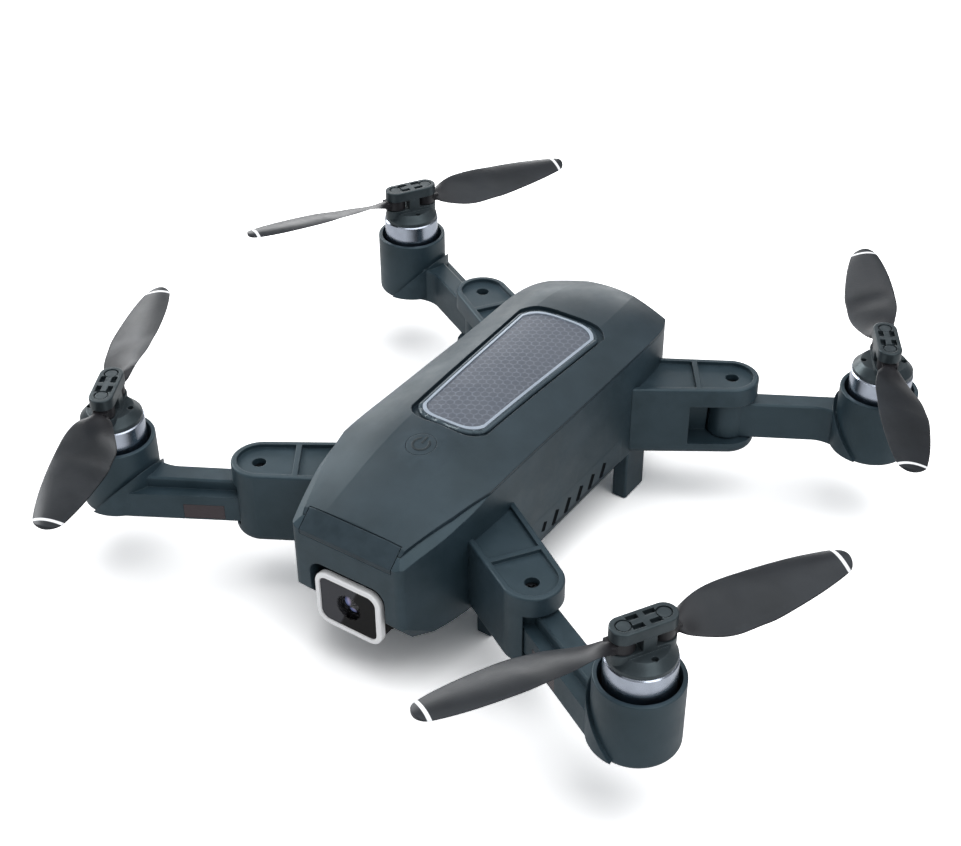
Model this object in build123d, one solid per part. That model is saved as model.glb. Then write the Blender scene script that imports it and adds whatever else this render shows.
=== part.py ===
from build123d import *
import math
import os

# Folding camera quadcopter, standing on its four feet, arms and blades spread.
# Frame: Z up, floor at Z = 0, nose towards -Y, origin midway between the motors.
# Every corner is one design, drawn at the front right and copied to the others.

# ---- overall layout (mm) ----
HINGE_X, HINGE_Y = 50.0, 61.3
MOTOR_X, MOTOR_Y = 94.75, 79.1
FOLD_DEG = 111.7
HINGE_LEAN_DEG = 2.5
HINGE_LEAN_DIR = (0.565, -0.825)
HINGE_ANCHOR_Z = 30.0
RUN = 0.06
SEAT = 0.05
PLAY = 0.4

# ---- body ----
FLOOR_Z = 19.6
NOSE_Y, TAIL_Y = -83.0, 67.0
FACET_EDGE = 0.8
EDGE_ROUND = 4.0
# station: y, crown height, top facet half width, crown camber, wall half width, seam
STATIONS = (
    (-90.0, 48.2, 15.2, 0.4, 18.0, 47.0),
    (-77.0, 53.2, 15.0, 0.4, 21.6, 51.6),
    (-62.0, 58.4, 14.5, 0.8, 25.6, 55.0),
    (-45.0, 61.9, 14.8, 1.0, 27.0, 57.0),
    (-28.0, 63.3, 15.0, 1.1, 27.0, 57.3),
    (0.0, 64.0, 15.5, 1.2, 27.0, 57.3),
    (30.0, 64.2, 16.2, 1.2, 27.0, 57.5),
    (46.0, 64.2, 16.2, 1.3, 27.0, 57.8),
    (57.0, 63.2, 15.0, 1.5, 25.8, 57.2),
    (70.0, 59.6, 12.5, 1.5, 21.0, 55.0),
)
TAIL_CORNER = (23.0, 63.8)
# shoulder under the seam at the nose: y, seam half width, seam height
SHOULDER = ((-95.0, 14.2, 45.0), (-77.0, 18.4, 51.6), (-62.0, 23.4, 55.0), (-48.0, 26.9, 56.8), (-40.0, 29.5, 57.1))
SHOULDER_SLOPE = 0.56
CHIN_Y, CHIN_Z = -77.6, 26.4
NOSE_CORNER_R = 3.0
CHEEK_CUT = ((15.5, -83.0, 19.6), (19.9, -83.0, 27.2), (22.4, -73.0, 19.6))
SHELL_T = 1.6
NOSE_BREAK = (-77.0, 53.2)
NOSE_EDGE_Z = 47.9
NOSE_COVER_T = 1.5
NOSE_STRIP_W = 33.0
GROOVE = 0.5

# ---- hinge ears ----
EAR_TOP_Z = 45.9
EAR_END_R = 9.4
EAR_ROOT_FRONT = (24.0, -57.2)
EAR_ROOT_REAR = (24.0, -33.4)
EAR_FLOOR_ROUND = 3.0
EAR_HOLE_R = 2.2
EAR_HOLE_Z = 41.0
EAR_RIM = 1.9
EAR_POCKET_D = 1.3
EAR_RIB_X, EAR_RIB_W = -11.3, 1.8
WINDOW_LEN = 14.0
PIN_R = 1.5
PIN_HEAD_R = 2.1
PIN_HEAD_H = 1.6

# ---- arms ----
ARM_LOW_Z, ARM_TOP_Z = 24.6, 37.9
ARM_STEP_Z = 34.3
ARM_OUT, ARM_IN = 5.96, 5.1
ARM_OUT_SLOPE, ARM_IN_SLOPE = 0.1405, 0.13
ARM_LEDGE = 3.86
KNUCKLE_R = 6.4
KNUCKLE_PLAY = 0.45
SLOT_SIDE = 0.5
SLOT_TOP_RISE = 1.3
POD_R, POD_WALL = 12.6, 1.3
POD_LOW_Z, POD_TOP_Z = 24.6, 47.6
POD_WELL_Z = 31.0
POD_ROUND = 1.5
COLLAR_R, COLLAR_LOW_Z, COLLAR_TOP_Z = 13.8, 25.8, 40.8
LIGHT_AT, LIGHT_Z = 17.5, 28.4
LIGHT_LEN, LIGHT_H, LIGHT_T = 13.0, 5.2, 0.8

# ---- motor and rotor ----
CAN_R, CAN_WALL = 10.0, 1.5
CAN_LOW_Z, CAN_TOP_Z = 34.2, 54.6
SHAFT_R = 1.5
STATOR_R, STATOR_TOP_Z = 7.6, 50.5
CONE_R, CONE_TOP_R = 9.65, 7.3
CONE_SKIRT, CONE_TOP_Z = 1.2, 58.4
PIN_OFFSET = 6.0
LOBE_R = 3.8
ROOT_R = 3.4
ROOT_LOW_Z, ROOT_TOP_Z = 59.8, 63.2
ROOT_PLAY = 0.25
CAP_TOP_Z = 67.0
BLADE_PIN_R = 1.2
PROP_R = 64.6
BLADE_END = (61.5, 5.0, -3.9)
BLADE_T = 1.1
BLADE_RISE_DEG = 1.2
REST_DIR_DEG = 60.0
# blade station: radius, chord, pitch, chord centre offset towards the leading edge
BLADE_STATIONS = (
    (9.2, 5.0, 6.0, 0.0),
    (12.0, 8.6, 18.0, -0.2),
    (15.8, 11.8, 25.0, -0.4),
    (20.0, 14.6, 24.0, -0.7),
    (26.2, 16.4, 20.0, -0.9),
    (33.8, 16.6, 16.0, -0.9),
    (42.0, 15.5, 13.0, -0.5),
    (51.3, 13.2, 10.0, 0.0),
    (57.0, 11.1, 8.0, 0.3),
    (61.5, 8.9, 6.5, 0.55),
    (66.0, 5.6, 5.0, 1.0),
)

# ---- camera ----
CAM_Y, CAM_Z = -72.8, 25.2
CAM_W, CAM_H = 24.2, 19.6
CAM_FRONT_Y = -83.3
CAM_CORNER = 4.6
CAM_RIM = 1.7
NOSE_BAY_W, NOSE_BAY_TOP = 27.6, 37.6
NOSE_BAY_BACK = -61.5
NOSE_BAY_CORNER = 4.5
CAM_DRUM_R = 8.0
CAM_PIVOT_R = 1.8

# ---- battery ----
BAY_W, BAY_H, BAY_Z, BAY_FRONT = 36.0, 25.0, 24.6, -6.0
CAP_Y = 57.0
LATCH_W, LATCH_H, LATCH_STROKE = 12.0, 7.0, 0.8
LATCH_Y, LATCH_Z = 64.2, 45.6

# ---- board ----
TUB_T, TUB_FRONT = 2.0, -57.0
BOARD_X, BOARD_Y, BOARD_Z = 19.0, (-50.0, -16.0), 30.0

# ---- small parts ----
BADGE_Y0, BADGE_Y1 = -31.0, 34.5
BADGE_W0, BADGE_W1 = 11.4, 13.9
BADGE_GROOVE, BADGE_DEPTH = 2.5, 1.4
BADGE_RIM = 0.9
BUTTON_Y, BUTTON_R, BUTTON_GAP = -44.8, 4.6, 0.12
FOOT_OUT_X, FOOT_IN_X, FOOT_Y0, FOOT_Y1 = 26.9, 21.4, 35.4, 47.8
VENTS, VENT_PITCH, VENT_Y0, VENT_Z = 7, 7.3, -18.7, 24.0


def save(shape, name):
    export_step(shape, f"parts/{name}.step")


def corners(shape):
    """The front-right piece copied to all four corners."""
    return {
        "front_right": shape,
        "front_left": mirror(shape, about=Plane.YZ),
        "rear_right": mirror(shape, about=Plane.XZ),
        "rear_left": Rot(0, 0, 180) * shape,
    }


def save_corners(shape, name):
    for corner, piece in corners(shape).items():
        save(piece, f"{name}_{corner}")


def all_corners(shape):
    return Compound(children=[s for p in corners(shape).values() for s in p.solids()])


def block(x0, x1, y0, y1, z0, z1):
    box = Box(x1 - x0, y1 - y0, z1 - z0)
    return Pos((x0 + x1) / 2, (y0 + y1) / 2, (z0 + z1) / 2) * box


def rod(x, y, z0, z1, r):
    return Pos(x, y, (z0 + z1) / 2) * Cylinder(r, z1 - z0)


def prism(points, z0, z1):
    face = make_face(Polyline(*points, close=True))
    return Pos(0, 0, z0) * extrude(face, z1 - z0)


def side_prism(points, half_width):
    """A (y, z) outline drawn out along X to both sides."""
    face = make_face(Polyline(*[(0, y, z) for y, z in points], close=True))
    return extrude(face, half_width, dir=(1, 0, 0), both=True)


# ---- body form ----
def section(station):
    y, crown_z, top_w, camber, wall_w, seam_z = station
    edge_z = crown_z - camber
    slope = (edge_z - seam_z - FACET_EDGE) / (wall_w - top_w)
    out_w = wall_w + 4.0
    out_z = seam_z + FACET_EDGE - 4.0 * slope
    r = EDGE_ROUND
    knee = (top_w + r, edge_z - r * slope)
    brow = (top_w - r, edge_z + camber * 2 * r / top_w)
    mid_z = (knee[1] + brow[1]) / 2
    bend = (top_w, mid_z + r * (slope - 2 * camber / top_w) / 4)

    def at(p, side):
        return (side * p[0], y, p[1])

    low = seam_z - 12.0
    edges = [
        Line((-out_w, y, low), (out_w, y, low)),
        Line((out_w, y, low), (out_w, y, out_z)),
        Line((out_w, y, out_z), at(knee, 1)),
        ThreePointArc(at(knee, 1), at(bend, 1), at(brow, 1)),
        ThreePointArc(at(brow, 1), (0, y, crown_z), at(brow, -1)),
        ThreePointArc(at(brow, -1), at(bend, -1), at(knee, -1)),
        Line(at(knee, -1), (-out_w, y, out_z)),
        Line((-out_w, y, out_z), (-out_w, y, low)),
    ]
    return make_face(Curve() + edges)


def crown_form():
    return loft([section(s) for s in STATIONS])


def plan_points(inset=0.0):
    rows = [(s[0], s[4] - inset) for s in STATIONS[1:-1]]
    return [(w, y) for y, w in rows]


def plan_face(inset=0.0):
    """The body seen from above: flat nose, bowed sides, rounded tail."""
    nose_w = 19.7 - inset
    tail_x, tail_y = TAIL_CORNER
    side = [(nose_w, NOSE_Y + inset)] + plan_points(inset) + [(tail_x - inset, tail_y - inset)]
    right = Spline(*side)
    left = Spline(*[(-x, y) for x, y in side])
    tail = ThreePointArc(side[-1], (0, TAIL_Y - inset), (-side[-1][0], side[-1][1]))
    nose = Line(side[0], (-side[0][0], side[0][1]))
    face = make_face(Curve() + [right, tail, left, nose])
    front = face.vertices().filter_by_position(Axis.Y, NOSE_Y + inset - 0.1, NOSE_Y + inset + 0.1)
    return fillet(front, NOSE_CORNER_R)


def below_seam(drop=0.0):
    pts = [(s[0], s[5] - drop) for s in STATIONS]
    top = Spline(*[(0, y, z) for y, z in pts])
    start, end = pts[0], pts[-1]
    rest = Polyline((0, end[0], end[1]), (0, end[0], 0), (0, start[0], 0), (0, start[0], start[1]))
    return extrude(make_face(Curve() + [top, rest]), 40, dir=(1, 0, 0), both=True)


def nose_wedge(depth=0.0):
    """Everything ahead of the slanted strip above the camera."""
    y0, z0 = NOSE_BREAK
    slope = (z0 - NOSE_EDGE_Z) / (y0 - NOSE_Y)
    y1 = NOSE_Y - 12.0
    z1 = z0 + (y1 - y0) * slope
    return side_prism([(y0, z0 - depth), (y1, z1 - depth), (y1, 90), (y0, 90)], 40)


def shoulder_cut():
    """Above the sloping shoulder and outside the seam, along one side of the nose."""
    rows = []
    for y, x, z in SHOULDER:
        low = z - 12 * SHOULDER_SLOPE
        ring = Polyline((x, y, z), (x + 12, y, low), (x + 12, y, 80), (x, y, 80), close=True)
        rows.append(make_face(ring))
    return loft(rows, ruled=True)


def chin_cut():
    """Under the slanted chin below the camera."""
    slope = (CHIN_Z - FLOOR_Z) / (CHIN_Y - NOSE_Y)
    y = NOSE_Y - 10.0
    return side_prism([(CHIN_Y + 5, FLOOR_Z - 5 * slope), (y, CHIN_Z + 10 * slope), (y, -10), (CHIN_Y + 5, -10)], 40)


def cheek_plane():
    a, b, c = [Vector(*p) for p in CHEEK_CUT]
    normal = (b - a).cross(c - a)
    outward = normal if normal.X > 0 else normal * -1
    return Plane(origin=a, z_dir=outward)


def body_form(inset=0.0):
    wall = Pos(0, 0, FLOOR_Z + inset) * extrude(plan_face(inset), 60)
    crown = Pos(0, 0, -inset) * crown_form()
    low = block(-40, 40, -95, 75, 0, 46.0 - inset)
    solid = wall & (crown + low) - Pos(0, 0, -inset) * nose_wedge()
    side = Pos(-inset, 0, -inset) * shoulder_cut()
    return solid - side - mirror(side, about=Plane.YZ)


def outer_body():
    """The closed body with its chin and cheek facets."""
    solid = body_form() - chin_cut()
    solid = split(solid, cheek_plane(), keep=Keep.BOTTOM)
    solid = mirror(split(mirror(solid, about=Plane.YZ), cheek_plane(), keep=Keep.BOTTOM), about=Plane.YZ)
    return solid


# ---- hinge ears ----
def hinge_frame():
    """Frame on the leaning fold axis, X along the arm's rest direction from above."""
    lean = math.tan(math.radians(HINGE_LEAN_DEG))
    axis = (lean * HINGE_LEAN_DIR[0], lean * HINGE_LEAN_DIR[1], 1)
    return Location(Plane(origin=(HINGE_X, -HINGE_Y, HINGE_ANCHOR_Z), z_dir=axis))


def arm_frame():
    angle = math.degrees(math.atan2(HINGE_Y - MOTOR_Y, MOTOR_X - HINGE_X))
    return Pos(HINGE_X, -HINGE_Y, 0) * Rot(0, 0, angle)


ARM_LEN = math.hypot(MOTOR_X - HINGE_X, MOTOR_Y - HINGE_Y)


def ear_outline():
    """Tapered ear with a round end about the hinge."""
    hx, hy = HINGE_X, -HINGE_Y
    front = math.radians(-114.0)
    rear = math.radians(56.0)
    p = (hx + EAR_END_R * math.cos(front), hy + EAR_END_R * math.sin(front))
    q = (hx + EAR_END_R * math.cos(rear), hy + EAR_END_R * math.sin(rear))
    mid = math.radians(-29.0)
    m = (hx + EAR_END_R * math.cos(mid), hy + EAR_END_R * math.sin(mid))
    edges = Curve() + [
        Polyline(p, EAR_ROOT_FRONT, EAR_ROOT_REAR, q),
        ThreePointArc(q, m, p),
    ]
    return make_face(edges)


def turned(u, v):
    """A point of the arm's own plan after folding."""
    a = math.radians(FOLD_DEG)
    return (u * math.cos(a) - v * math.sin(a), u * math.sin(a) + v * math.cos(a))


def ear_frame(z):
    return Pos(HINGE_X, -HINGE_Y, z) * Rot(0, 0, -34)


def ear_slot():
    """Room for the knuckle and for the arm from spread to folded."""
    z0 = ARM_LOW_Z - KNUCKLE_PLAY
    z1 = ARM_TOP_Z + SLOT_TOP_RISE
    reach = 24.0
    out_v, in_v = ARM_OUT + SLOT_SIDE, ARM_IN + SLOT_SIDE
    hub = hinge_frame() * Cylinder(KNUCKLE_R + KNUCKLE_PLAY, 60)
    fan = [(0, 0), (0, -out_v), (reach, -out_v - reach * ARM_OUT_SLOPE)]
    fan += [(reach * math.cos(a), reach * math.sin(a)) for a in (0.5, 1.0, 1.5)]
    fan += [turned(reach, in_v - reach * ARM_IN_SLOPE), turned(0, in_v)]
    sweep = arm_frame() * prism(fan, z0, z1)
    window = ear_frame(0) * block(-WINDOW_LEN, 0, 0.5, 14, z0, z1)
    return (hub & block(0, 100, -100, 0, z0, z1)) + sweep + window


def ear_pockets():
    """Two shallow pockets in the ear's top with a rib between them."""
    floor = offset(ear_outline(), -EAR_RIM)
    sunk = Pos(0, 0, EAR_TOP_Z - EAR_POCKET_D) * extrude(floor, 2 * EAR_POCKET_D)
    rib = ear_frame(EAR_TOP_Z) * Pos(EAR_RIB_X, 0, 0) * Box(EAR_RIB_W, 60, 4 * EAR_POCKET_D)
    return sunk - rib


def ear():
    solid = Pos(0, 0, FLOOR_Z) * extrude(ear_outline(), EAR_TOP_Z - FLOOR_Z)
    rim = solid.edges().filter_by_position(Axis.Z, FLOOR_Z - 0.1, FLOOR_Z + 0.1)
    outer = [e for e in rim if e.center().X > 30]
    solid = fillet(outer, EAR_FLOOR_ROUND)
    top = solid.edges().filter_by_position(Axis.Z, EAR_TOP_Z - 0.1, EAR_TOP_Z + 0.1)
    solid = fillet([e for e in top if e.center().X > 30], 0.7)
    solid -= ear_slot()
    solid -= ear_pockets()
    bore = Cylinder(PIN_R + SEAT, 60)
    well = Pos(0, 0, 30 + EAR_HOLE_Z - HINGE_ANCHOR_Z) * Cylinder(EAR_HOLE_R, 60)
    return solid - hinge_frame() * (bore + well)


def hinge_pin():
    """Pin with its head at the bottom of the screw well."""
    low = FLOOR_Z + 0.4 - HINGE_ANCHOR_Z
    seat = EAR_HOLE_Z + SEAT - HINGE_ANCHOR_Z
    pin = rod(0, 0, low, seat + PIN_HEAD_H, PIN_R) + rod(0, 0, seat, seat + PIN_HEAD_H, PIN_HEAD_R)
    cross = Box(2.6, 0.6, 1.2) + Box(0.6, 2.6, 1.2)
    return hinge_frame() * (pin - Pos(0, 0, seat + PIN_HEAD_H) * cross)


# ---- arms ----
def knuckle():
    z0, z1 = ARM_LOW_Z - HINGE_ANCHOR_Z, ARM_TOP_Z - HINGE_ANCHOR_Z
    return hinge_frame() * rod(0, 0, z0, z1, KNUCKLE_R)


def pod():
    z0, z1 = POD_LOW_Z, POD_TOP_Z
    solid = Pos(MOTOR_X, -MOTOR_Y, (z0 + z1) / 2) * Cylinder(POD_R, z1 - z0)
    solid = fillet(solid.edges().sort_by(Axis.Z)[0], POD_ROUND)
    return fillet(solid.edges().sort_by(Axis.Z)[-1], 0.4)


def beam_plan(out_v, out_slope):
    """Arm seen from above, straight outboard, curving into the pod inboard."""
    u = ARM_LEN - POD_R * math.sin(math.atan(out_slope))
    bend = 28.0
    inner = Spline((bend, ARM_IN - bend * ARM_IN_SLOPE), (31.8, 1.5), (36.9, 3.8), (41.3, 7.5))
    outer = Polyline((41.3, 7.5), (ARM_LEN, 0), (u, -out_v - u * out_slope), (0, -out_v), (0, ARM_IN), inner @ 0)
    return make_face(Curve() + [inner, outer])


def arm_beam():
    low = Pos(0, 0, ARM_LOW_Z) * extrude(beam_plan(ARM_OUT, ARM_OUT_SLOPE), ARM_STEP_Z - ARM_LOW_Z)
    foot = low.edges().filter_by_position(Axis.Z, ARM_LOW_Z - 0.1, ARM_LOW_Z + 0.1)
    low = chamfer([e for e in foot if e.length > 35], 0.8)
    ridge = beam_plan(ARM_OUT - ARM_LEDGE, ARM_IN_SLOPE)
    top = Pos(0, 0, ARM_STEP_Z) * extrude(ridge, ARM_TOP_Z - ARM_STEP_Z)
    crest = top.edges().filter_by_position(Axis.Z, ARM_TOP_Z - 0.1, ARM_TOP_Z + 0.1)
    top = chamfer([e for e in crest if e.length > 25], 0.6)
    return arm_frame() * (low + top)


def collar():
    """Thicker skirt on the pod's inner side, cut off aslant."""
    rise = (COLLAR_TOP_Z - COLLAR_LOW_Z) / COLLAR_R
    ring = rod(MOTOR_X, -MOTOR_Y, COLLAR_LOW_Z, COLLAR_TOP_Z, COLLAR_R)
    end = MOTOR_X - COLLAR_R
    outline = [(MOTOR_X, 0, COLLAR_LOW_Z), (end, 0, COLLAR_LOW_Z), (end, 0, COLLAR_LOW_Z + rise * COLLAR_R)]
    wedge = extrude(make_face(Polyline(*outline, close=True)), 120, dir=(0, -1, 0))
    return ring & wedge


def light_place(extra=0.0):
    """The lamp window on the outboard side of the arm."""
    size = Box(LIGHT_LEN + 2 * extra, LIGHT_T + 2 * extra, LIGHT_H + 2 * extra)
    face = Pos(0, -ARM_OUT, LIGHT_Z) * Rot(0, 0, -math.degrees(math.atan(ARM_OUT_SLOPE)))
    return arm_frame() * face * Pos(LIGHT_AT, LIGHT_T / 2, 0) * size


def arm():
    solid = arm_beam() + pod() + collar() + knuckle()
    x, y = MOTOR_X, -MOTOR_Y
    solid -= rod(x, y, POD_WELL_Z, POD_TOP_Z + 5, POD_R - POD_WALL)
    solid -= light_place(SEAT)
    solid -= hinge_frame() * Cylinder(PIN_R + RUN, 60)
    return solid


def arm_light():
    return light_place()


# ---- motor ----
def stator():
    """Base plate, wound core and bearing tube, fixed in the pod."""
    x, y = MOTOR_X, -MOTOR_Y
    base = rod(x, y, POD_WELL_Z, POD_WELL_Z + 2.0, POD_R - POD_WALL - SEAT)
    core = rod(x, y, POD_WELL_Z + 2.0, STATOR_TOP_Z - 4.0, STATOR_R)
    slots = [
        Pos(x, y, 41.5) * Rot(0, 0, 40 * i) * Pos(STATOR_R, 0, 0) * Box(3.4, 1.4, 9.0) for i in range(9)
    ]
    tube = rod(x, y, POD_WELL_Z, STATOR_TOP_Z, 3.0)
    return base + (core - slots) + tube - rod(x, y, POD_WELL_Z + 1, 60, SHAFT_R + RUN)


def motor_can():
    """Polished bell with the shaft that turns in the stator."""
    x, y = MOTOR_X, -MOTOR_Y
    bell = rod(x, y, CAN_LOW_Z, CAN_TOP_Z, CAN_R)
    bell -= rod(x, y, CAN_LOW_Z - 1, CAN_TOP_Z - 1.5, CAN_R - CAN_WALL)
    bell = chamfer(bell.edges().sort_by(Axis.Z)[-1], 0.4)
    return bell + rod(x, y, POD_WELL_Z + 2.0, CAN_TOP_Z - 1.0, SHAFT_R)


# ---- rotor hub and blades ----
def hub_frame():
    return Pos(MOTOR_X, -MOTOR_Y, 0) * Rot(0, 0, REST_DIR_DEG)


def stadium(z0, z1, r):
    return Pos(0, 0, z0) * extrude(SlotCenterToCenter(2 * PIN_OFFSET, 2 * r), z1 - z0)


def hub_base():
    skirt_top = CAN_TOP_Z + SEAT + CONE_SKIRT
    skirt = rod(0, 0, CAN_TOP_Z + SEAT, skirt_top, CONE_R)
    height = CONE_TOP_Z - skirt_top
    cone = Pos(0, 0, skirt_top + height / 2) * Cone(CONE_R, CONE_TOP_R, height)
    bed = stadium(skirt_top, ROOT_LOW_Z - ROOT_PLAY, LOBE_R)
    post = block(-2.0, 2.0, -LOBE_R, LOBE_R, CONE_TOP_Z, ROOT_TOP_Z + ROOT_PLAY)
    solid = skirt + cone + bed + post
    for side in (-1, 1):
        solid -= rod(0, side * 6.4, CONE_TOP_Z - 1.6, CONE_TOP_Z + 9, 0.95)
        solid -= rod(side * PIN_OFFSET, 0, CONE_TOP_Z - 1.2, 70, BLADE_PIN_R + SEAT)
    return hub_frame() * solid


def hub_cap():
    """Oblong cap with four pockets round a cross rib."""
    low = ROOT_TOP_Z + ROOT_PLAY
    solid = stadium(low, CAP_TOP_Z, LOBE_R)
    solid = fillet(solid.edges().filter_by_position(Axis.Z, CAP_TOP_Z - 0.1, CAP_TOP_Z + 0.1), 0.4)
    for sx in (-1, 1):
        for sy in (-1, 1):
            solid -= Pos(sx * 2.6, sy * 1.75, CAP_TOP_Z) * Box(3.4, 1.7, 3.0)
        solid -= rod(sx * PIN_OFFSET, 0, low - 1, CAP_TOP_Z + 1, BLADE_PIN_R + SEAT)
        ring = rod(sx * PIN_OFFSET, 0, CAP_TOP_Z - 0.9, CAP_TOP_Z + 1, 2.3)
        solid -= ring
    return hub_frame() * solid


def blade_pins():
    low = CONE_TOP_Z - 1.1
    head = CAP_TOP_Z - 0.9 + SEAT
    pins = []
    for side in (-1, 1):
        pin = rod(side * PIN_OFFSET, 0, low, head + 0.7, BLADE_PIN_R)
        pins.append(pin + rod(side * PIN_OFFSET, 0, head, head + 0.7, 1.9))
    return Compound(children=[s for p in pins for s in (hub_frame() * p).solids()])


def foil(station):
    """Thin cambered section square to the blade, leading edge raised."""
    r, chord, pitch, offset = station
    z = (ROOT_LOW_Z + ROOT_TOP_Z) / 2 + (r - PIN_OFFSET) * math.tan(math.radians(BLADE_RISE_DEG))
    thick = BLADE_T * (1.0 if r > 15 else 1.8)
    plane = Plane(origin=(r, offset, z - thick * 0.3), x_dir=(0, 1, 0), z_dir=(1, 0, 0))
    half = chord / 2
    edges = Curve() + [
        Spline((-half, 0), (-half * 0.3, thick * 0.75), (half * 0.5, thick * 0.8), (half, 0.1)),
        Spline((half, 0.1), (half * 0.6, -thick * 0.15), (-half * 0.3, -thick * 0.2), (-half, 0)),
    ]
    return plane * Rot(0, 0, pitch) * make_face(edges)


def blade_plan():
    """Limits the blade to its rounded end."""
    r, lead, trail = BLADE_END
    round_end = ThreePointArc((r, lead), (PROP_R, (lead + trail) / 2), (r, trail))
    rest = Polyline((r, trail), (r, -20), (0, -20), (0, 20), (r, 20), (r, lead))
    return Pos(0, 0, 50) * extrude(make_face(Curve() + [round_end, rest]), 30)


def blade():
    vane = loft([foil(s) for s in BLADE_STATIONS])
    root = rod(PIN_OFFSET, 0, ROOT_LOW_Z, ROOT_TOP_Z, ROOT_R)
    solid = vane + root + block(PIN_OFFSET, 10.5, -2.3, 2.3, ROOT_LOW_Z + 0.4, ROOT_TOP_Z - 0.4)
    solid &= blade_plan()
    solid -= rod(PIN_OFFSET, 0, 50, 70, BLADE_PIN_R + RUN)
    return solid


# ---- camera ----
def lens_plate(width, height, corner, y0, y1):
    face = Plane(origin=(0, y0, CAM_Z), x_dir=(1, 0, 0), z_dir=(0, 1, 0)) * RectangleRounded(width, height, corner)
    return extrude(face, y1 - y0, dir=(0, 1, 0))


def camera_body():
    """Drum about the tilt axis with the lens box in front."""
    drum = Pos(0, CAM_Y, CAM_Z) * Rot(0, 90, 0) * Cylinder(CAM_DRUM_R, CAM_W - 1.0)
    box = lens_plate(CAM_W - 1.0, CAM_H - 1.0, CAM_CORNER - 0.5, CAM_FRONT_Y + 2.2, CAM_Y)
    pivots = Pos(0, CAM_Y, CAM_Z) * Rot(0, 90, 0) * Cylinder(CAM_PIVOT_R, NOSE_BAY_W + 3.0)
    well = Pos(0, CAM_FRONT_Y + 4.4, CAM_Z) * Rot(90, 0, 0) * Cylinder(5.6, 5.0)
    return drum + box + pivots - well


def camera_frame():
    outer = lens_plate(CAM_W, CAM_H, CAM_CORNER, CAM_FRONT_Y, CAM_FRONT_Y + 2.2 - SEAT)
    inner = lens_plate(CAM_W - 2 * CAM_RIM, CAM_H - 2 * CAM_RIM, CAM_CORNER - CAM_RIM, CAM_FRONT_Y - 1, CAM_FRONT_Y + 4)
    front = outer.edges().filter_by_position(Axis.Y, CAM_FRONT_Y - 0.1, CAM_FRONT_Y + 0.1)
    return fillet(front, 0.5) - inner


def camera_glass():
    gap = 2 * CAM_RIM + 2 * SEAT
    return lens_plate(CAM_W - gap, CAM_H - gap, CAM_CORNER - CAM_RIM, CAM_FRONT_Y + 0.5, CAM_FRONT_Y + 1.5)


def camera_lens():
    """Stepped barrel behind the window."""
    barrel = Pos(0, CAM_FRONT_Y + 4.2, CAM_Z) * Rot(90, 0, 0) * Cylinder(5.0, 4.6)
    front = Pos(0, CAM_FRONT_Y + 2.2, CAM_Z) * Rot(90, 0, 0) * Cylinder(3.4, 1.6)
    return barrel - front


# ---- battery ----
def bay(gap=0.0):
    return block(-BAY_W / 2 - gap, BAY_W / 2 + gap, BAY_FRONT - gap, 80, BAY_Z - gap, BAY_Z + BAY_H + gap)


def tail_block(gap=0.0):
    """Zone of the body that leaves with the battery."""
    return block(-20.0 - gap, 20.0 + gap, CAP_Y - gap, 80, 22.0 - gap, 53.5 + gap)


def latch_form(gap=0.0, depth=0.0):
    half = LATCH_W / 2 + gap
    return block(-half, half, LATCH_Y - depth, 70, LATCH_Z - gap, LATCH_Z + LATCH_H + gap)


def battery_pack():
    cell = block(-BAY_W / 2, BAY_W / 2, BAY_FRONT, CAP_Y - SEAT, BAY_Z, BAY_Z + BAY_H)
    cell = chamfer(cell.edges().filter_by(Axis.Y), 1.5)
    return cell - block(-7, 7, BAY_FRONT - 1, BAY_FRONT + 2, 34, 40)


def battery_cap(body):
    return (body & tail_block()) - latch_form(0.25, LATCH_STROKE + 0.25)


def battery_latch(body):
    solid = body & latch_form()
    ribs = [Pos(0, TAIL_Y + 0.2, 47.2 + 1.5 * i) * Box(LATCH_W - 3, 1.0, 0.5) for i in range(4)]
    return solid - ribs


def battery_contacts():
    pads = [block(-5.2 + 2.6 * i, -3.8 + 2.6 * i, BAY_FRONT + 1.4, BAY_FRONT + 2 - SEAT, 34.5, 39.5) for i in range(5)]
    return Compound(children=pads)


# ---- shells ----
def badge_face(grow):
    y0, y1 = BADGE_Y0 - grow, BADGE_Y1 + grow
    w0, w1 = BADGE_W0 + grow, BADGE_W1 + grow
    edges = Curve() + [
        Line((w0, y0 + 3), (w1, y1 - 3)),
        Spline((w1, y1 - 3), (w1 - 2.6, y1), (0, y1 + 1.6), (2.6 - w1, y1), (-w1, y1 - 3)),
        Line((-w1, y1 - 3), (-w0, y0 + 3)),
        Spline((-w0, y0 + 3), (2.6 - w0, y0), (0, y0 - 1.2), (w0 - 2.6, y0), (w0, y0 + 3)),
    ]
    return make_face(edges)


def badge_prism(grow, drop):
    """Badge outline, cut off a set depth under the crown."""
    tall = Pos(0, 0, 40) * extrude(badge_face(grow), 40)
    return tall - Pos(0, 0, -drop) * crown_form()


def badge_plate():
    return badge_prism(-BADGE_RIM - SEAT, BADGE_DEPTH) - badge_prism(0, 0.55)


def badge_rim():
    ring = badge_prism(0, BADGE_DEPTH) - badge_prism(0, 0.25)
    return ring - Pos(0, 0, 30) * extrude(badge_face(-BADGE_RIM), 60)


def button_form(gap=0.0):
    return rod(0, BUTTON_Y, 54.0 - gap, 70, BUTTON_R + gap)


def power_mark():
    """Broken ring and bar raised on the button."""
    ring = rod(0, BUTTON_Y, 50, 80, 2.9) - rod(0, BUTTON_Y, 49, 81, 2.2)
    ring -= block(-1.3, 1.3, BUTTON_Y, BUTTON_Y + 5, 49, 81)
    return ring + block(-0.35, 0.35, BUTTON_Y + 0.4, BUTTON_Y + 3.4, 50, 80)


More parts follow.
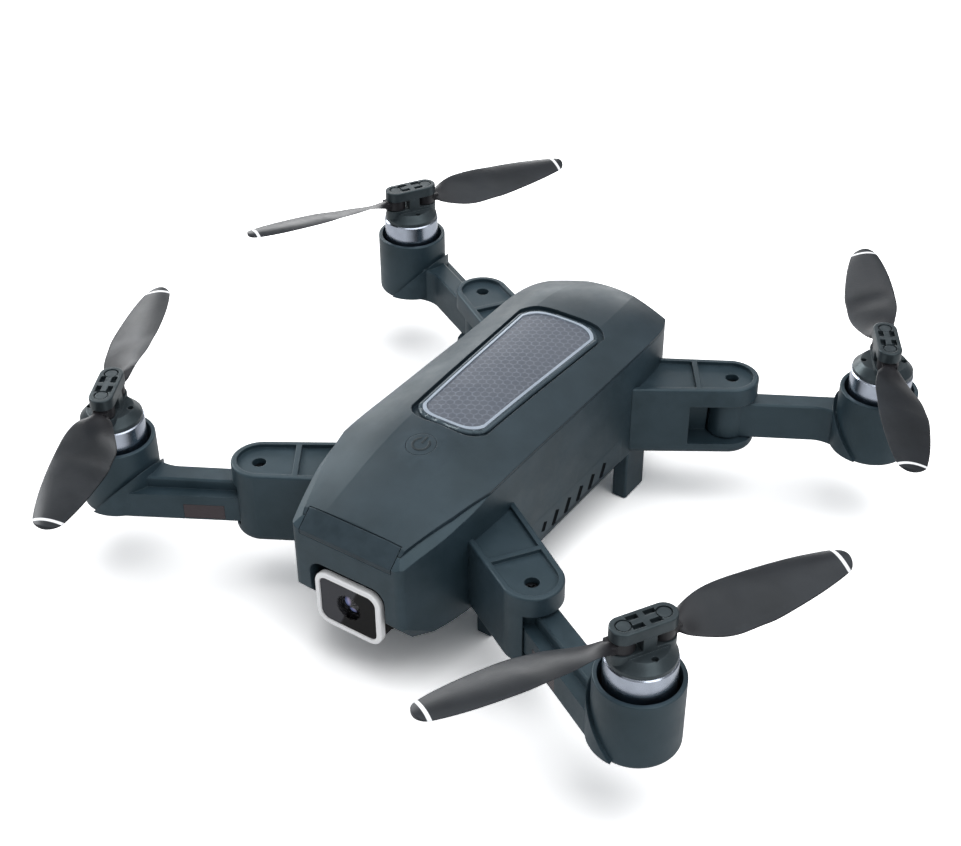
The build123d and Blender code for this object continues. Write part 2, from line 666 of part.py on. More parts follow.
def power_button(body):
    cap = body & button_form()
    mark = (Pos(0, 0, 0.12) * body) & power_mark() & button_form()
    return cap + mark


def sleeve():
    """Moulded box round the battery bay."""
    t = PLAY + SHELL_T
    half = BAY_W / 2 + t
    return block(-half, half, BAY_FRONT - t, CAP_Y + 1, FLOOR_Z, BAY_Z + BAY_H + t)


def main_board():
    """Flight board on its four posts, with shielded chips."""
    board = block(-22, 22, -55, -11, BOARD_Z, BOARD_Z + 1.6)
    board += block(-9, 9, -40, -24, BOARD_Z + 1.6, BOARD_Z + 4.0)
    board += block(-16, -11, -50, -44, BOARD_Z + 1.6, BOARD_Z + 3.0)
    board += block(11, 18, -34, -20, BOARD_Z + 1.6, BOARD_Z + 3.0)
    return board


def vent_slots():
    cuts = []
    for i in range(VENTS):
        for side in (-1, 1):
            slot = Rot(27, 0, 0) * Box(3.0, 1.3, 5.6)
            cuts.append(Pos(side * 27.0, VENT_Y0 + VENT_PITCH * i, VENT_Z) * slot)
    return cuts


def upper_shell(body):
    inner = body_form(SHELL_T)
    solid = body - below_seam() - inner
    solid -= badge_prism(BADGE_GROOVE, BADGE_DEPTH)
    solid -= button_form(BUTTON_GAP)
    return solid - nose_strip(GROOVE / 2)


def nose_strip(gap=0.0):
    """Slanted strip between the top shell and the camera."""
    half = NOSE_STRIP_W / 2 + gap
    return nose_wedge(NOSE_COVER_T + gap) & block(-half, half, -90, NOSE_BREAK[0] - GROOVE + gap, 40, 60)


def nose_bay():
    """Opening for the camera, round at its top corners."""
    half = NOSE_BAY_W / 2
    room = block(-half, half, -90, NOSE_BAY_BACK, 0, NOSE_BAY_TOP)
    top = room.edges().filter_by(Axis.Y).filter_by_position(Axis.Z, NOSE_BAY_TOP - 0.1, NOSE_BAY_TOP + 0.1)
    return fillet(top, NOSE_BAY_CORNER)


def lower_shell(body):
    solid = body & below_seam(0.15)
    solid -= body_form(TUB_T) & block(-40, 40, TUB_FRONT, 80, FLOOR_Z + TUB_T, 70)
    solid -= body_form(SHELL_T) & block(-40, 40, -76, 80, 53.5, 70)
    solid += sleeve() & body
    for x in (-BOARD_X, BOARD_X):
        for y in BOARD_Y:
            solid += rod(x, y, FLOOR_Z, BOARD_Z - SEAT, 2.4)
    solid -= bay(PLAY)
    solid -= nose_strip(GROOVE / 2)
    solid -= tail_block(PLAY / 2)
    solid -= nose_bay()
    solid -= Pos(0, CAM_Y, CAM_Z) * Rot(0, 90, 0) * Cylinder(CAM_PIVOT_R + RUN, NOSE_BAY_W + 3.4)
    for cut in vent_slots():
        solid -= cut
    return solid


def foot():
    leg = block(FOOT_IN_X, FOOT_OUT_X, -FOOT_Y1, -FOOT_Y0, 0, FLOOR_Z - SEAT)
    leg = fillet(leg.edges().filter_by(Axis.Z), 0.8)
    return chamfer(leg.edges().filter_by_position(Axis.Z, -0.1, 0.1), 0.5)


def main():
    os.makedirs("parts", exist_ok=True)
    body = outer_body()
    for corner, piece in corners(ear()).items():
        save(piece - body, f"hinge_ear_{corner}")
    save(upper_shell(body), "upper_shell")
    save(lower_shell(body), "lower_shell")
    save(body & nose_strip(), "nose_cover")
    save(main_board(), "main_board")
    save(badge_plate(), "badge_plate")
    save(badge_rim(), "badge_rim")
    save(power_button(body), "power_button")
    save(all_corners(hinge_pin()), "hinge_pins")
    save(all_corners(foot()), "landing_feet")
    save(camera_body(), "camera_body")
    save(camera_frame(), "camera_frame")
    save(camera_glass(), "camera_glass")
    save(camera_lens(), "camera_lens")
    save(battery_pack(), "battery_pack")
    save(battery_cap(body), "battery_cap")
    save(battery_latch(body), "battery_latch")
    save(battery_contacts(), "battery_contacts")
    save_corners(arm(), "arm")
    save_corners(arm_light(), "arm_light")
    save_corners(stator(), "stator")
    save_corners(motor_can(), "motor_can")
    save_corners(hub_base(), "hub_base")
    save_corners(hub_cap(), "hub_cap")
    save_corners(blade_pins(), "blade_pins")
    vane = blade()
    save_corners(hub_frame() * vane, "blade_a")
    save_corners(hub_frame() * Rot(0, 0, 180) * vane, "blade_b")


main()
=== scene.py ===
import bpy
import bmesh
import math
from mathutils import Matrix, Vector
from mathutils.geometry import convex_hull_2d, tessellate_polygon


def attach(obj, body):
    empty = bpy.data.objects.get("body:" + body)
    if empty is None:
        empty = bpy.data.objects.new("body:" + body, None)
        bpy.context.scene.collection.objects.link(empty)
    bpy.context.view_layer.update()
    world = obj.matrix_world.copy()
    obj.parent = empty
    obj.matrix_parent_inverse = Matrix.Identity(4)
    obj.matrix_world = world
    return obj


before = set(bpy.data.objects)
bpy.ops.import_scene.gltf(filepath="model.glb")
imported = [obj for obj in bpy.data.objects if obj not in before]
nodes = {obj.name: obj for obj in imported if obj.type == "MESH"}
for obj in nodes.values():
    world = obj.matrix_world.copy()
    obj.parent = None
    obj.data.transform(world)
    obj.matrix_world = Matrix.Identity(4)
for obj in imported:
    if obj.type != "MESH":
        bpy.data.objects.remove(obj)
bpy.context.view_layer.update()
MM = 0.001
CORNERS = ("front_right", "front_left", "rear_right", "rear_left")
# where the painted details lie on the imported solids, in metres
MOTOR_X, MOTOR_Y = 0.09475, 0.0791
BUTTON_Y = -0.0448
LENS_Y, LENS_Z = -0.0806, 0.0252
BADGE_Y = 0.002
BLADE_DIR = math.radians(60.0)
BLADE_BAND_IN, BLADE_BAND_OUT = 0.0612, 0.0622
HONEYCOMB_PITCH = 0.0026
# vents: outer face of the side wall, lean from upright, then the pitch of the five long ones
WALL_X = 27.0 * MM
VENT_LEAN = math.radians(28.0)
VENTS, VENT_PITCH = 5, 7.35
# tints of the specular reflection
TEAL = (0.74, 0.93, 1.0, 1.0)
COOL = (0.9, 0.95, 1.0, 1.0)
LATHE_LINES = 9000.0
LAMP_TARGET = (0, 0, 0.05)


# ---- node helpers ----
class Net:
    """Small helper for building one material's nodes."""

    def __init__(self, name):
        self.mat = bpy.data.materials.new(name)
        self.mat.use_nodes = True
        self.tree = self.mat.node_tree
        self.tree.nodes.clear()
        self.out = self.tree.nodes.new("ShaderNodeOutputMaterial")
        self.bsdf = self.tree.nodes.new("ShaderNodeBsdfPrincipled")
        self.link(self.bsdf.outputs[0], self.out.inputs["Surface"])
        self.where = self.tree.nodes.new("ShaderNodeTexCoord").outputs["Object"]

    def link(self, a, b):
        self.tree.links.new(a, b)

    def put(self, socket, value):
        if isinstance(value, bpy.types.NodeSocket):
            self.link(value, socket)
        else:
            socket.default_value = value

    def set(self, **values):
        for key, value in values.items():
            self.put(self.bsdf.inputs[key.replace("_", " ")], value)

    def math(self, op, a, b=0.0, c=0.0):
        n = self.tree.nodes.new("ShaderNodeMath")
        n.operation = op
        for socket, value in zip(n.inputs, (a, b, c)):
            self.put(socket, value)
        return n.outputs[0]

    def radius(self, u, v):
        """Distance from the point where u and v are both 0."""
        squares = (self.math("MULTIPLY", w, w) for w in (u, v))
        return self.math("SQRT", self.math("ADD", *squares))

    def noise(self, scale, detail=3.0, rough=0.5, vector=None):
        n = self.tree.nodes.new("ShaderNodeTexNoise")
        self.put(n.inputs["Vector"], vector or self.where)
        n.inputs["Scale"].default_value = scale
        n.inputs["Detail"].default_value = detail
        n.inputs["Roughness"].default_value = rough
        return n.outputs["Fac"]

    def spread(self, value, lo, hi, out_lo=0.0, out_hi=1.0):
        n = self.tree.nodes.new("ShaderNodeMapRange")
        for socket, v in zip(n.inputs, (value, lo, hi, out_lo, out_hi)):
            self.put(socket, v)
        return n.outputs[0]

    def band(self, value, lo, hi, soft):
        """1 between lo and hi, fading over soft."""
        rise = self.spread(value, lo - soft, lo)
        fall = self.spread(value, hi, hi + soft, 1.0, 0.0)
        return self.math("MULTIPLY", rise, fall)

    def mix(self, fac, a, b):
        n = self.tree.nodes.new("ShaderNodeMix")
        n.data_type = "RGBA"
        for name, value in (("Factor", fac), ("A", a), ("B", b)):
            wanted = "RGBA" if name != "Factor" else "VALUE"
            socket = next(s for s in n.inputs if s.name == name and s.type == wanted)
            self.put(socket, value)
        return next(s for s in n.outputs if s.type == "RGBA")

    def split(self):
        n = self.tree.nodes.new("ShaderNodeSeparateXYZ")
        self.link(self.where, n.inputs[0])
        return n.outputs

    def join(self, x, y, z):
        n = self.tree.nodes.new("ShaderNodeCombineXYZ")
        for socket, value in zip(n.inputs, (x, y, z)):
            self.put(socket, value)
        return n.outputs[0]

    def soften(self, radius):
        """Normal rounded off at the edges."""
        n = self.tree.nodes.new("ShaderNodeBevel")
        n.samples = 4
        n.inputs["Radius"].default_value = radius
        return n.outputs[0]

    def bump(self, height, distance, strength, onto=None):
        n = self.tree.nodes.new("ShaderNodeBump")
        self.put(n.inputs["Height"], height)
        n.inputs["Distance"].default_value = distance
        n.inputs["Strength"].default_value = strength
        if onto is not None:
            self.link(onto, n.inputs["Normal"])
        return n.outputs[0]

    def edges(self, lo=0.515, hi=0.56):
        """1 on worn convex edges, 0 elsewhere."""
        n = self.tree.nodes.new("ShaderNodeNewGeometry")
        return self.spread(n.outputs["Pointiness"], lo, hi)


def linear(r, g, b):
    """Screen colour (0 to 255) as linear light."""

    def one(c):
        c /= 255.0
        return c / 12.92 if c <= 0.04045 else ((c + 0.055) / 1.055) ** 2.4

    return (one(r), one(g), one(b), 1.0)


def plastic(
    name, base, lighter, rough=0.42, grain=2600.0, depth=0.00002, wear=0.25, soft=0.0004, tint=TEAL
):
    """Moulded plastic: fine spark grain, faint mottling, paler rubbed edges."""
    net = Net(name)
    mottle = net.noise(55.0, 4.0)
    fine = net.noise(grain, 2.0, 0.6)
    colour = net.mix(net.spread(mottle, 0.35, 0.65, 0.0, 0.35), base, lighter)
    rub = net.math("MULTIPLY", net.edges(), net.spread(net.noise(240.0), 0.4, 0.6, 0.2, 1.0))
    net.colour = net.mix(net.math("MULTIPLY", rub, wear), colour, lighter)
    handling = net.spread(net.noise(120.0, 5.0, 0.65), 0.3, 0.7, rough - 0.05, rough + 0.07)
    net.set(Base_Color=net.colour, Roughness=handling)
    net.bsdf.inputs["IOR"].default_value = 1.49
    net.bsdf.inputs["Specular Tint"].default_value = tint
    net.set(Normal=net.bump(fine, depth, 0.8, onto=net.soften(soft) if soft else None))
    return net


def metal(name, base, dull, rough):
    """Turned metal with fine lathe lines round its axis."""
    net = Net(name)
    height = net.math("MULTIPLY", net.split()[2], LATHE_LINES)
    wave = net.noise(1.0, 3.0, 0.7, vector=net.join(0.0, 0.0, height))
    smear = net.noise(300.0, 3.0)
    net.set(Base_Color=net.mix(net.spread(smear, 0.3, 0.7, 0.0, 0.3), base, dull))
    net.set(Roughness=net.spread(wave, 0.3, 0.7, rough - 0.04, rough + 0.08))
    net.bsdf.inputs["Metallic"].default_value = 1.0
    net.set(Normal=net.bump(wave, 0.000008, 0.6, onto=net.soften(0.0002)))
    return net


def blade_plastic():
    """Blade plastic with the printed white band near the tip."""
    grey, pale = linear(21, 24, 28), linear(42, 46, 52)
    net = plastic("blade_grey", grey, pale, rough=0.38, grain=1800.0, soft=0.0002, tint=COOL)
    net.bsdf.inputs["Specular IOR Level"].default_value = 0.36
    x, y, _ = net.split()
    dx = net.math("SUBTRACT", net.math("ABSOLUTE", x), MOTOR_X)
    dy = net.math("SUBTRACT", MOTOR_Y, net.math("ABSOLUTE", y))
    along_x = net.math("MULTIPLY", dx, math.cos(BLADE_DIR))
    along_y = net.math("MULTIPLY", dy, math.sin(BLADE_DIR))
    reach = net.math("ABSOLUTE", net.math("ADD", along_x, along_y))
    band = net.band(reach, BLADE_BAND_IN, BLADE_BAND_OUT, 0.0001)
    root = net.spread(reach, 0.008, 0.020, 1.0, 0.0)
    colour = net.mix(net.math("MULTIPLY", root, 0.55), net.colour, linear(44, 40, 41))
    net.set(Base_Color=net.mix(band, colour, linear(235, 237, 240)))
    return net


def badge_plastic():
    """Grey plate printed with a fine honeycomb."""
    net = Net("badge_honeycomb")
    x, y, _ = net.split()
    pitch = HONEYCOMB_PITCH
    tall = pitch * math.sqrt(3.0)

    def off_centre(value, shift, step):
        """Distance from the middle of the cell that value falls in."""
        inside = net.math("WRAP", net.math("ADD", value, shift * step), step, 0.0)
        return net.math("ABSOLUTE", net.math("SUBTRACT", inside, step / 2))

    def cell(shift):
        """Distance from the nearest centre of one of the two rows of hexagons."""
        u, v = off_centre(y, shift, pitch), off_centre(x, shift, tall)
        half, rest = net.math("MULTIPLY", u, 0.5), net.math("MULTIPLY", v, math.sqrt(0.75))
        slant = net.math("ADD", half, rest)
        return net.math("MAXIMUM", u, slant)

    reach = net.math("MINIMUM", cell(0.0), cell(0.5))
    wall = net.spread(reach, pitch * 0.36, pitch * 0.47)
    mottle = net.noise(70.0, 4.0)
    inside = net.mix(mottle, linear(74, 80, 90), linear(88, 94, 104))
    worn = net.math("MULTIPLY", wall, net.spread(net.noise(900.0, 2.0), 0.4, 0.6, 0.4, 1.0))
    net.set(Base_Color=net.mix(worn, inside, linear(104, 111, 123)))
    net.set(Roughness=net.spread(net.noise(160.0, 4.0), 0.3, 0.7, 0.3, 0.42))
    net.set(Normal=net.bump(wall, 0.00003, 0.6, onto=net.soften(0.0002)))
    return net


def button_plastic(base, lighter):
    """Button plastic with its dark power sign."""
    net = plastic("button_grey", base, lighter, soft=0.0003)
    x, y, _ = net.split()
    dy = net.math("SUBTRACT", y, BUTTON_Y)
    r = net.radius(x, dy)
    side = net.math("ABSOLUTE", x)
    near = net.spread(side, 0.0012, 0.0014, 1.0, 0.0)
    gap = net.math("MULTIPLY", near, net.spread(dy, 0.0, 0.0002))
    circle = net.band(r, 0.0022, 0.0029, 0.00005)
    ring = net.math("MULTIPLY", circle, net.math("SUBTRACT", 1.0, gap))
    line = net.spread(side, 0.0003, 0.0004, 1.0, 0.0)
    bar = net.math("MULTIPLY", line, net.band(dy, 0.0004, 0.0034, 0.00005))
    sign = net.math("MAXIMUM", ring, bar)
    net.set(Base_Color=net.mix(net.math("MULTIPLY", sign, 0.85), net.colour, linear(9, 14, 18)))
    return net


def window_glass():
    """Dark camera window, clear in front of the lens, with a painted reflection lighter across its
    left part.
    """
    net = Net("window_glass")
    x, _, z = net.split()
    dz = net.math("SUBTRACT", z, LENS_Z)
    uneven = net.math("ADD", net.radius(x, dz), net.math("MULTIPLY", net.noise(400.0), 0.0001))
    clear = net.spread(uneven, 0.0040, 0.0046, 0.92, 0.0)
    # painted reflection: lighter base colour across the left part, with a diagonal edge
    slope = net.math("ADD", x, net.math("MULTIPLY", dz, -0.45))
    painted_reflection = net.spread(slope, -0.0004, 0.0004, 1.0, 0.0)
    net.set(Base_Color=net.mix(painted_reflection, linear(10, 10, 12), linear(66, 67, 72)))
    net.set(Roughness=net.spread(net.noise(90.0, 5.0), 0.35, 0.65, 0.05, 0.12))
    net.bsdf.inputs["Specular IOR Level"].default_value = 0.12
    through = net.tree.nodes.new("ShaderNodeBsdfTransparent")
    blend = net.tree.nodes.new("ShaderNodeMixShader")
    net.link(clear, blend.inputs[0])
    net.link(net.bsdf.outputs[0], blend.inputs[1])
    net.link(through.outputs[0], blend.inputs[2])
    net.link(blend.outputs[0], net.out.inputs["Surface"])
    return net


def lens_painted_glints():
    """Deep dark glass with two painted glints, blue blending into violet."""
    net = Net("lens_painted_glints")
    x, _, z = net.split()
    dz = net.math("SUBTRACT", z, LENS_Z)

    # one soft painted glint round a point on the lens
    def glint_spot(cx, cz, r_in, r_out):
        u, v = net.math("SUBTRACT", x, cx), net.math("SUBTRACT", dz, cz)
        return net.spread(net.radius(u, v), r_in, r_out, 1.0, 0.0)

    # painted glints: a larger one at upper left and a smaller one at lower right
    across = net.spread(net.math("ADD", x, dz), -0.002, 0.002)
    glint_tint = net.mix(across, linear(150, 170, 235), linear(222, 200, 236))
    upper, lower = glint_spot(-0.0019, 0.0008, 0.0011, 0.0020), glint_spot(0.0004, -0.0019, 0.0007, 0.0014)
    painted_glints = net.math("MAXIMUM", upper, lower)
    dark = net.mix(net.noise(200.0), linear(8, 8, 14), linear(16, 14, 26))
    net.set(Base_Color=net.mix(painted_glints, dark, glint_tint), Roughness=0.06)
    net.bsdf.inputs["IOR"].default_value = 1.8
    net.set(Normal=net.bump(net.noise(900.0, 2.0), 0.000002, 0.3))
    return net


def lamp_plastic():
    """Dark reddish lamp window with fine ribs."""
    net = Net("lamp_red")
    ribs = net.math("SINE", net.math("MULTIPLY", net.split()[2], 7000.0))
    shade = net.noise(150.0, 3.0)
    net.set(Base_Color=net.mix(shade, linear(44, 38, 43), linear(56, 43, 48)))
    net.set(Roughness=net.spread(shade, 0.3, 0.7, 0.12, 0.22))
    net.set(Normal=net.bump(ribs, 0.00003, 0.4, onto=net.soften(0.0002)))
    return net


def winding_copper():
    """Lacquered copper wire, wound in turns."""
    net = Net("winding_copper")
    turns = net.math("SINE", net.math("MULTIPLY", net.split()[2], 16000.0))
    shade = net.noise(260.0, 3.0)
    net.set(Base_Color=net.mix(shade, linear(150, 84, 44), linear(180, 110, 60)))
    net.set(Roughness=net.spread(shade, 0.3, 0.7, 0.32, 0.5))
    net.bsdf.inputs["Metallic"].default_value = 0.7
    net.set(Normal=net.bump(turns, 0.00012, 0.8))
    return net


def board_lacquer():
    """Green board with darker islands between its tracks."""
    net = Net("board_green")
    tracks = net.tree.nodes.new("ShaderNodeTexVoronoi")
    tracks.inputs["Scale"].default_value = 420.0
    net.link(net.where, tracks.inputs["Vector"])
    path = net.spread(tracks.outputs["Distance"], 0.25, 0.35)
    net.set(Base_Color=net.mix(path, linear(24, 74, 48), linear(12, 48, 32)))
    net.set(Roughness=net.spread(net.noise(200.0), 0.3, 0.7, 0.25, 0.4))
    net.set(Normal=net.bump(path, 0.00003, 0.5))
    return net


def paint(objects, net):
    for obj in objects:
        obj.data.materials.clear()
        obj.data.materials.append(net.mat)


def each(name):
    return [nodes[f"{name}_{corner}"] for corner in CORNERS]


SHELL, SHELL_PALE = linear(30, 45, 53), linear(58, 73, 83)
# the top colours are the shell plastic painted darker, as painted shade on the upper surfaces
TOP_SHADED, TOP_SHADED_PALE = linear(22, 34, 42), linear(48, 61, 71)
shell = plastic("shell_grey", SHELL, SHELL_PALE)
shell_top_shaded = plastic("shell_top_shaded_grey", TOP_SHADED, TOP_SHADED_PALE)
rotor_black = plastic(
    "rotor_black", linear(34, 41, 45), linear(62, 69, 73), rough=0.34, wear=0.5, soft=0.0003
)
# near-black matte sheet that stands for the shade inside the vent slots
vent_painted_shade = plastic("vent_painted_shade", linear(8, 12, 15), linear(14, 18, 22), rough=0.8, soft=None)
vent_painted_shade.bsdf.inputs["Specular IOR Level"].default_value = 0.05
vent_grey = plastic("vent_grey", SHELL, SHELL_PALE, soft=None)
bezel = plastic("bezel_grey", linear(44, 56, 64), linear(74, 86, 95), rough=0.34, soft=0.0003)
black = plastic(
    "camera_black", linear(9, 9, 10), linear(18, 18, 20), rough=0.5, soft=0.0002, tint=COOL
)
black.bsdf.inputs["Specular IOR Level"].default_value = 0.25
white = plastic(
    "rim_white",
    linear(244, 245, 247),
    linear(250, 250, 251),
    rough=0.22,
    grain=900.0,
    depth=0.00001,
)
battery = plastic("battery_black", linear(30, 32, 35), linear(46, 48, 52), rough=0.5)
silver = plastic(
    "rim_silver", linear(146, 157, 170), linear(170, 180, 192), rough=0.3, grain=900.0, soft=0.0002
)

shell_nodes = ("lower_shell", "landing_feet", "battery_cap", "battery_latch")
paint([nodes[name] for name in shell_nodes], shell)
paint(each("hinge_ear") + each("arm"), shell)
# painted shade: the upper shell, nose cover and power button take the darker copy of the shell
# plastic
paint([nodes["upper_shell"], nodes["nose_cover"]], shell_top_shaded)
paint([nodes["power_button"]], button_plastic(TOP_SHADED, TOP_SHADED_PALE))
paint([nodes["badge_plate"]], badge_plastic())
paint([nodes["badge_rim"]], silver)
paint(each("hub_base") + each("hub_cap"), rotor_black)
paint(each("blade_a") + each("blade_b"), blade_plastic())
paint(each("motor_can"), metal("can_aluminium", linear(190, 198, 212), linear(138, 146, 158), 0.2))
paint(each("blade_pins"), rotor_black)
# steel pins, painted dark as painted shade inside the hinge holes
paint([nodes["hinge_pins"]], metal("pin_steel_shaded", linear(54, 56, 60), linear(34, 36, 40), 0.35))
paint(each("stator"), winding_copper())
paint(each("arm_light"), lamp_plastic())
paint([nodes["camera_body"], nodes["camera_lens"]], black)
paint([nodes["camera_frame"]], white)
paint([nodes["camera_glass"]], window_glass())
paint([nodes["battery_pack"]], battery)
brass = metal("contact_brass", linear(214, 178, 106), linear(180, 146, 84), 0.25)
paint([nodes["battery_contacts"]], brass)
paint([nodes["main_board"]], board_lacquer())


# ---- pieces added over the solids ----
def add_mesh(name, verts, faces, net, body, slot, smooth=True):
    """New piece that rides on a body of the part."""
    mesh = bpy.data.meshes.new(name)
    mesh.from_pydata(verts, [], faces)
    obj = bpy.data.objects.new(name, mesh)
    bpy.context.collection.objects.link(obj)
    bm = bmesh.new()
    bm.from_mesh(mesh)
    bmesh.ops.recalc_face_normals(bm, faces=bm.faces)
    bm.to_mesh(mesh)
    bm.free()
    for face in mesh.polygons:
        face.use_smooth = smooth
    mesh.materials.append(net.mat)
    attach(obj, body)


def turned(profile, centre, steps=48):
    """Rings (distance along -Y, radius) turned about the lens axis."""
    cx, cy, cz = centre
    verts, faces = [], []
    for depth, radius in profile:
        for i in range(steps):
            a = 2 * math.pi * i / steps
            verts.append((cx + radius * math.cos(a), cy - depth, cz + radius * math.sin(a)))
    for k in range(len(profile) - 1):
        for i in range(steps):
            j = (i + 1) % steps
            faces.append((k * steps + i, k * steps + j, (k + 1) * steps + j, (k + 1) * steps + i))
    faces.append(tuple(range(steps)))
    faces.append(tuple((len(profile) - 1) * steps + i for i in range(steps)))
    return verts, faces


def lens_dome():
    """Bulging front element seated in the barrel."""
    r, height, edge, rings = 3.2 * MM, 0.0009, 0.0004, 8
    bulge = [(height * (1 - (k / rings) ** 2), r * k / rings) for k in range(rings, 0, -1)]
    verts, faces = turned([(-edge, r)] + bulge, (0.0, LENS_Y, LENS_Z))
    add_mesh("lens_element", verts, faces, lens_painted_glints(), "camera", "window")


def plate(outer, holes, back, front, side, inset=0.0):
    """Closed sheet in a Y-Z plane, with holes, from X = side * back to side * front.

    Its front outline is drawn in by inset.
    """
    ys, zs = [p[0] for p in outer], [p[1] for p in outer]
    my, mz = (min(ys) + max(ys)) / 2, (min(zs) + max(zs)) / 2
    drawn = [(y - math.copysign(inset, y - my), z - math.copysign(inset, z - mz)) for y, z in outer]
    verts, faces = [], []
    for x, rim in ((back, outer), (front, drawn)):
        loops = [[Vector((y, z, 0)) for y, z in loop] for loop in [rim] + holes]
        start = len(verts)
        faces += [tuple(start + i for i in tri) for tri in tessellate_polygon(loops)]
        verts += [(side * x, v.x, v.y) for loop in loops for v in loop]
    half = len(verts) // 2
    start = 0
    for loop in [outer] + holes:
        n = len(loop)
        for i in range(n):
            a, b = start + i, start + (i + 1) % n
            faces.append((a, b, half + b, half + a))
        start += n
    return verts, faces


def slot_outline(y, z, length, width, lean):
    """Slanted slot, its top leaning towards the tail."""
    cos, sin = math.cos(lean), math.sin(lean)
    u, v = width / 2, length / 2
    corners = ((-u, -v), (u, -v), (u, v), (-u, v))
    return [(y + a * cos + b * sin, z - a * sin + b * cos) for a, b in corners]


def vent_panels():
    """Skin over the vent row on each side, with six slanted slots over a dark sheet of painted
    shade.
    """
    low, high, nose, tail = 19.66 * MM, 29.2 * MM, -24.5 * MM, 30.5 * MM
    outline = [(nose, low), (tail, low), (tail, high), (nose, high)]
    # a short slot towards the nose, then the long ones
    slots = [slot_outline(-17.9 * MM, 24.3 * MM, 3.4 * MM, 2.2 * MM, VENT_LEAN)]
    for i in range(VENTS):
        y = (-11.3 + VENT_PITCH * i) * MM
        slots.append(slot_outline(y, 23.6 * MM, 5.4 * MM, 2.4 * MM, VENT_LEAN))
    for side, hand in ((1, "right"), (-1, "left")):
        skin = plate(outline, slots, WALL_X + 0.02 * MM, WALL_X + 0.07 * MM, side, inset=1.5 * MM)
        add_mesh(f"vent_skin_{hand}", *skin, vent_grey, "chassis", "shell", smooth=False)
        # painted shade: a dark sheet just under the skin, seen through its slots
        y0, y1, top = nose + MM, tail - MM, high - MM
        shade_backing = [(y0, low), (y1, low), (y1, top), (y0, top)]
        dark = plate(shade_backing, [], WALL_X - 0.1 * MM, WALL_X + 0.03 * MM, side)
        add_mesh(f"vent_shade_sheet_{hand}", *dark, vent_painted_shade, "chassis", "black", smooth=False)


def badge_bezel():
    """Rounded band between the plate's rim and the groove round it."""
    points = [v.co.copy() for v in nodes["badge_rim"].data.vertices]
    hull = [points[i] for i in convex_hull_2d([(p.x, p.y) for p in points])]
    top = {(round(p.x, 6), round(p.y, 6)): 0.0 for p in hull}
    for p in points:
        key = (round(p.x, 6), round(p.y, 6))
        if key in top:
            top[key] = max(top[key], p.z)
    # millimetres out from the rim, and down from the rim's top; the top shell falls away by fall
    fall = 0.12
    inner = ((0.05, 1.1), (0.05, 0.15), (0.3, 0.02), (0.8, 0.05))
    outer = ((1.25, 0.25), (1.45, 0.6), (1.45, 1.1))
    profile = inner + outer
    n = len(hull)
    verts, faces = [], []
    for i, p in enumerate(hull):
        ahead, behind = hull[(i + 1) % n], hull[i - 1]
        along = Vector((ahead.x - behind.x, ahead.y - behind.y)).normalized()
        out = Vector((along.y, -along.x))
        if out.dot(Vector((p.x, p.y - BADGE_Y))) < 0:
            out = -out
        z = top[(round(p.x, 6), round(p.y, 6))]
        for away, drop in profile:
            down = (drop + fall * away) * MM
            verts.append((p.x + out.x * away * MM, p.y + out.y * away * MM, z - down))
    m = len(profile)
    for i in range(n):
        for k in range(m):
            a, b = i * m + k, i * m + (k + 1) % m
            c, d = ((i + 1) % n) * m + (k + 1) % m, ((i + 1) % n) * m + k
            faces.append((a, b, c, d))
    add_mesh("badge_bezel", verts, faces, bezel, "chassis", "black")


lens_dome()
vent_panels()
badge_bezel()

# ---- camera, light and floor ----
cam_data = bpy.data.cameras.new("view")
cam_data.lens = 59.27
cam_data.sensor_width = 36.0
cam_data.clip_start = 0.05
camera = bpy.data.objects.new("view", cam_data)
bpy.context.collection.objects.link(camera)
bpy.context.scene.camera = camera


def aim(azimuth, elevation, roll, place):
    """Camera at place, looking along azimuth and down by elevation, in degrees."""
    a, e, r = (math.radians(v) for v in (azimuth, elevation, roll))
    back = Vector((math.sin(a) * math.cos(e), -math.cos(a) * math.cos(e), math.sin(e)))
    flat = Vector((math.cos(a), math.sin(a), 0))
    over = back.cross(flat)
    right = math.cos(r) * flat + math.sin(r) * over
    up = -math.sin(r) * flat + math.cos(r) * over
    turn = Matrix((right, up, back)).transposed().to_4x4()
    camera.matrix_world = Matrix.Translation(place) @ turn


aim(34.44, 35.67, -0.38, (0.22843, -0.34662, 0.34085))


def softbox(name, place, size, power):
    """Rectangular lamp aimed at the middle of the drone."""
    data = bpy.data.lights.new(name, "AREA")
    data.shape = "RECTANGLE"
    data.size, data.size_y = size
    data.energy = power
    lamp = bpy.data.objects.new(name, data)
    bpy.context.collection.objects.link(lamp)
    lamp.location = place
    lamp.rotation_euler = (Vector(LAMP_TARGET) - Vector(place)).to_track_quat("-Z", "Y").to_euler()
    return lamp


softbox("key", (0.2, 0.12, 1.1), (1.4, 1.4), 10.5)
fill = softbox("fill", (0.7, -0.35, 0.5), (0.5, 0.5), 1.8)
back = softbox("back", (-0.75, 0.9, 0.24), (1.1, 0.42), 5.5)
front = softbox("front", (-0.45, -0.8, 0.35), (0.4, 0.4), 1.3)
side = softbox("side", (-0.9, 0.1, 0.55), (0.5, 0.5), 6.3)

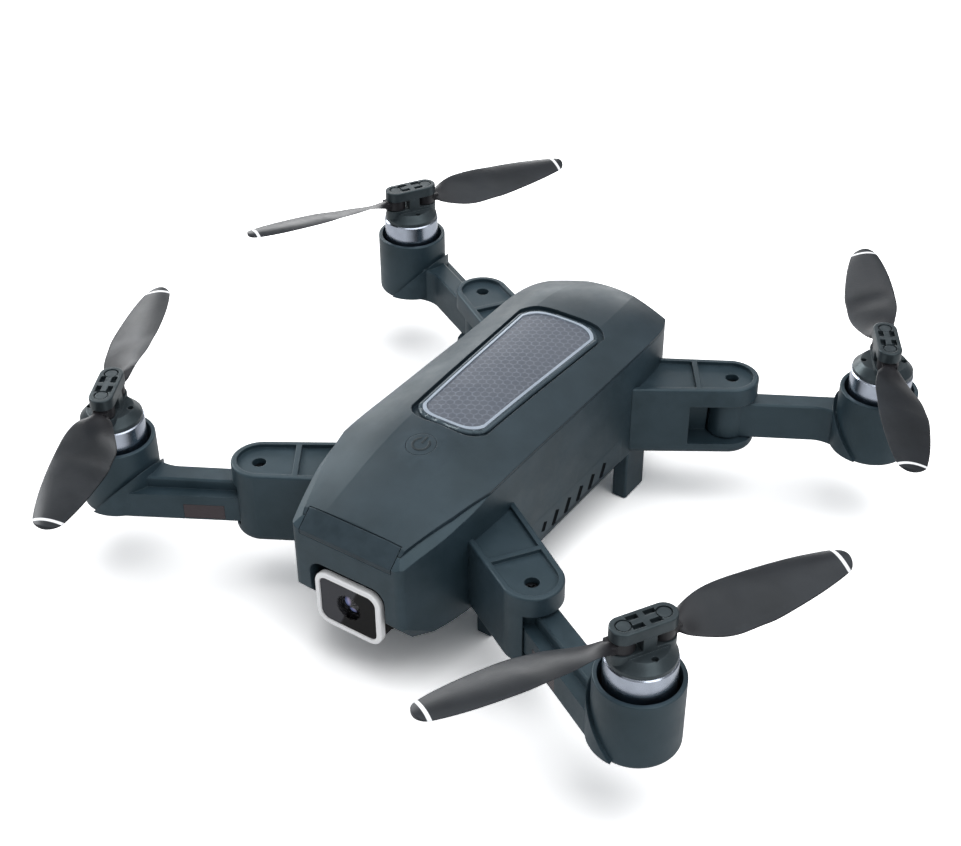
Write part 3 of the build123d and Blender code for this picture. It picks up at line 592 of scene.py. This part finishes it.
# a room that is dim at the floor and brighter overhead, plain white to the camera
world = bpy.data.worlds.new("studio")
bpy.context.scene.world = world
world.use_nodes = True
tree = world.node_tree
tree.nodes.clear()
out = tree.nodes.new("ShaderNodeOutputWorld")
room = tree.nodes.new("ShaderNodeBackground")
room.inputs["Color"].default_value = (0.97, 0.98, 1.0, 1)
height = tree.nodes.new("ShaderNodeSeparateXYZ")
tree.links.new(tree.nodes.new("ShaderNodeTexCoord").outputs["Generated"], height.inputs[0])
dome = tree.nodes.new("ShaderNodeMapRange")
tree.links.new(height.outputs[2], dome.inputs["Value"])
for name, value in (("From Min", 0.0), ("From Max", 0.8), ("To Min", 0.12), ("To Max", 0.42)):
    dome.inputs[name].default_value = value
tree.links.new(dome.outputs[0], room.inputs["Strength"])
seen = tree.nodes.new("ShaderNodeBackground")
seen.inputs["Color"].default_value = (1, 1, 1, 1)
seen.inputs["Strength"].default_value = 1.0
path = tree.nodes.new("ShaderNodeLightPath")
choose = tree.nodes.new("ShaderNodeMixShader")
tree.links.new(path.outputs["Is Camera Ray"], choose.inputs[0])
tree.links.new(room.outputs[0], choose.inputs[1])
tree.links.new(seen.outputs[0], choose.inputs[2])
tree.links.new(choose.outputs[0], out.inputs[0])

floor_mesh = bpy.data.meshes.new("floor")
floor_mesh.from_pydata([(-3, -3, 0), (3, -3, 0), (3, 3, 0), (-3, 3, 0)], [], [(0, 1, 2, 3)])
floor = bpy.data.objects.new("floor", floor_mesh)
bpy.context.collection.objects.link(floor)
ground = Net("floor_white")
ground.set(Base_Color=(0.9, 0.9, 0.9, 1), Roughness=0.9)
ground.bsdf.inputs["Specular IOR Level"].default_value = 0.0
# extra white that only the camera sees, growing away from the drone, so the floor has no edge
ray = ground.tree.nodes.new("ShaderNodeLightPath")
lift = ground.tree.nodes.new("ShaderNodeBsdfDiffuse")
x, y, _ = ground.split()
extra = ground.spread(ground.radius(x, y), 0.12, 0.4, 1.2, 2.1)
seen_only = ground.math("MULTIPLY", extra, ray.outputs["Is Camera Ray"])
ground.link(ground.join(seen_only, seen_only, seen_only), lift.inputs["Color"])
both = ground.tree.nodes.new("ShaderNodeAddShader")
ground.link(ground.bsdf.outputs[0], both.inputs[0])
ground.link(lift.outputs[0], both.inputs[1])
ground.link(both.outputs[0], ground.out.inputs["Surface"])
floor.data.materials.append(ground.mat)

# the small lamps shape the drone alone and leave the floor to the key and the room
unlit = bpy.data.collections.new("floor_only")
unlit.objects.link(floor)
unlit.collection_objects[0].light_linking.link_state = "EXCLUDE"
for lamp in (fill, back, front, side):
    lamp.light_linking.receiver_collection = unlit

bpy.context.scene.view_settings.view_transform = "Standard"
